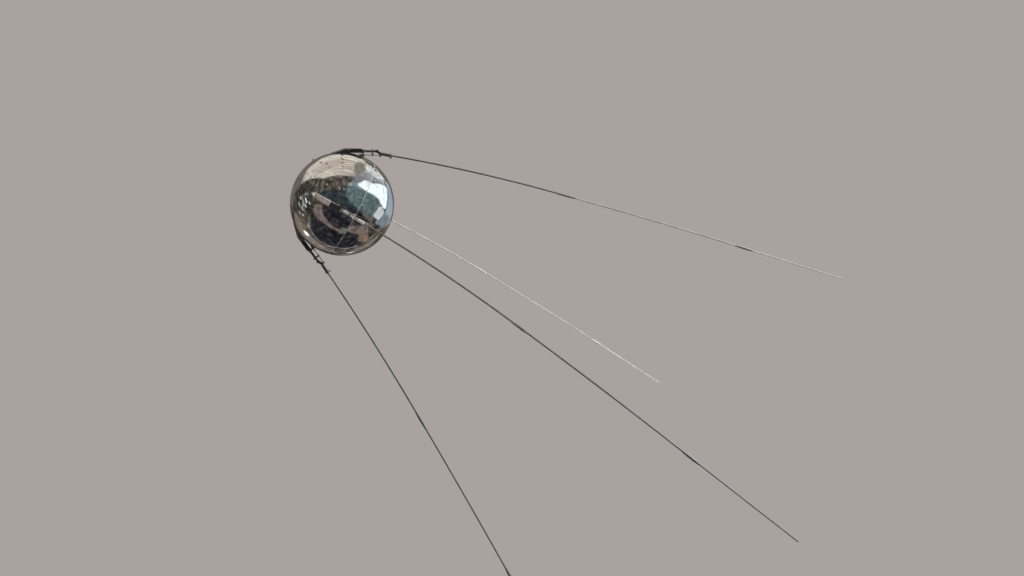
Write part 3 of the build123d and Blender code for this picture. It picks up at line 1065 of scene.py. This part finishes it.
# %% Small lights far off
white_spark = cloth(
    "white_spark", (0.3, (0.85, 0.9, 0.9)), (0.7, (1.0, 1.0, 1.0)), scale=3.0, strength=1.3,
)
warm_spark = cloth("warm_spark", (0.3, (0.8, 0.5, 0.36)), (0.7, (1.0, 0.78, 0.62)), scale=3.0)
sun_spark = cloth(
    "sun_spark", (0.3, (1.0, 0.9, 0.78)), (0.7, (1.0, 0.97, 0.92)), scale=3.0, strength=1.8,
)
spark_distance = 4.1
spark_blur = 0.32
sparks = (
    # bearing, elevation, width and height in degrees, cloth
    (-97, 9, 2.5, 5, white_spark), (-84, -3, 2.5, 10, white_spark), (-79, -12, 2, 5, white_spark),
    (-105, 5, 2, 6, white_spark), (-101, -6, 2, 9, white_spark), (-89, -10, 2, 7, white_spark),
    (-108, -13, 2, 6, white_spark), (-113, -4, 2, 5, white_spark), (-33, 9, 3, 3, warm_spark),
    (-7, -3, 3, 5, warm_spark), (2, -3, 2.5, 4, warm_spark), (-141, -11, 9, 10, sun_spark),
    (-155, -11, 3, 2.5, warm_spark), (-163, -14, 5, 2.5, warm_spark), (171, -6, 7, 3.5, sun_spark),
    (154, -8, 3.5, 2.5, warm_spark), (144, -2, 2.5, 2.5, warm_spark), (-119, -26, 5, 4, warm_spark),
)
for bearing, elevation, width, height, spark_cloth in sparks:
    blur = spark_blur * spark_distance * math.radians(min(width, height))
    left = bearing - width / 2
    right = bearing + width / 2
    low = elevation - height / 2
    high = elevation + height / 2
    card(
        "spark", spark_cloth, spark_distance, blur,
        (left, low), (right, low), (right, high), (left, high),
    )
print(len(sparks), "small lights")

# %% [markdown]
# The floor is painted in the backdrop's hue, but paler, because only part of the light reaches
# it, so that its far end and the backdrop look alike. It is seen from above only, so that a camera
# under it still sees the satellite.

# %% Floor
floor_colour = (0.7, 0.61, 0.59)
floor_dullness = 0.9
floor_below_camera = 0.05
floor_size = 160

floor_height = camera_place.z - floor_below_camera
deselect()
bpy.ops.mesh.primitive_plane_add(size=floor_size, location=(0, 0, floor_height))
floor = bpy.context.object
floor.name = "floor"
bpy.ops.object.transform_apply(location=True, rotation=True, scale=True)
floor_paint, floor_shader = new_finish("floor_paint")
floor_shader.inputs["Base Color"].default_value = (*floor_colour, 1)
floor_shader.inputs["Roughness"].default_value = floor_dullness
side = add(floor_paint, "ShaderNodeNewGeometry")
clear = add(floor_paint, "ShaderNodeBsdfTransparent")
one_sided = add(floor_paint, "ShaderNodeMixShader")
floor_output = floor_paint.node_tree.nodes["Material Output"]
link(floor_paint, side.outputs["Backfacing"], one_sided.inputs["Fac"])
link(floor_paint, floor_shader.outputs[0], one_sided.inputs[1])
link(floor_paint, clear.outputs[0], one_sided.inputs[2])
link(floor_paint, one_sided.outputs[0], floor_output.inputs["Surface"])
floor.data.materials.append(floor_paint)
print("floor at", round(floor_height, 3), "m")

# %% [markdown]
# The lamps are large and soft, so that no shadow has a hard edge. The key comes from above on the
# camera's side, and a weaker, cooler one fills from the right. Mirrors don't see them, because a
# bright square in the ball would give them away.

# %% Lamps
def lamp(name, place, power, size, colour):
    deselect()
    bpy.ops.object.light_add(type="AREA", location=place)
    light = bpy.context.object
    light.name = name
    light.rotation_euler = (-Vector(place)).to_track_quat("-Z", "Y").to_euler()
    light.data.energy = power
    light.data.size = size
    light.data.color = colour
    light.visible_camera = False
    light.visible_glossy = False
    print(name, "of", power, "W")


lamp("key_above", place=(-3.0, -4.0, 5.0), power=300, size=4.0, colour=(1.0, 0.95, 0.88))
lamp("fill_right", place=(5.0, -3.0, 1.0), power=120, size=3.0, colour=(0.88, 0.94, 1.0))
